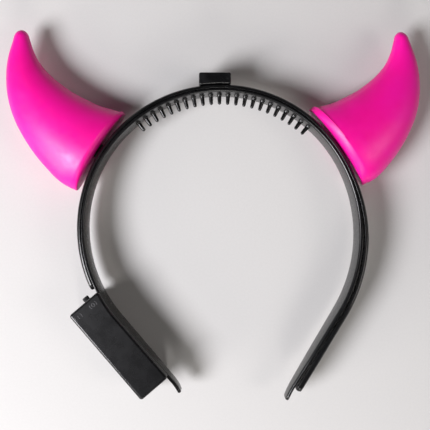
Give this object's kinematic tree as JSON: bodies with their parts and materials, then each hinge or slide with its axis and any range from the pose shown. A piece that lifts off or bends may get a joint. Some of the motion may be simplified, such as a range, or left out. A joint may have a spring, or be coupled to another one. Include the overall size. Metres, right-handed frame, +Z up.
{
  "type": "devil horns headband",
  "caption": "Costume hair band with two hollow curved horns, a comb on its inner side, a centre block and a battery box with a slide switch.",
  "frame": {"origin": "under the middle of the whole object, on the surface it lies on", "axes": "+X across the head from the battery box's side, +Y from the arms' tips to the top of the band, +Z up along the band's width"},
  "size_m": [0.2032, 0.1814, 0.027],
  "materials": {
    "band_plastic": "semi-matte injection moulded",
    "box_plastic": "fine matte texture, moulded",
    "lever_plastic": "satin, moulded",
    "horn_plastic": "semi-matte soft plastic, moulded in colour"
  },
  "bodies": {
    "headband": {"comb_band": "band_plastic", "cover_strip": "band_plastic", "centre_block": "band_plastic", "battery_box": "box_plastic", "horn_left": "horn_plastic", "horn_right": "horn_plastic", "post_left": "band_plastic", "post_right": "band_plastic"},
    "switch": {"switch_lever": "lever_plastic"}
  },
  "joints": [
    {"name": "switch_slide", "type": "slide", "parent": "headband", "child": "switch", "axis": [-0.7593, -0.6508, 0], "range_m": [0, 0.0026]}
  ]
}
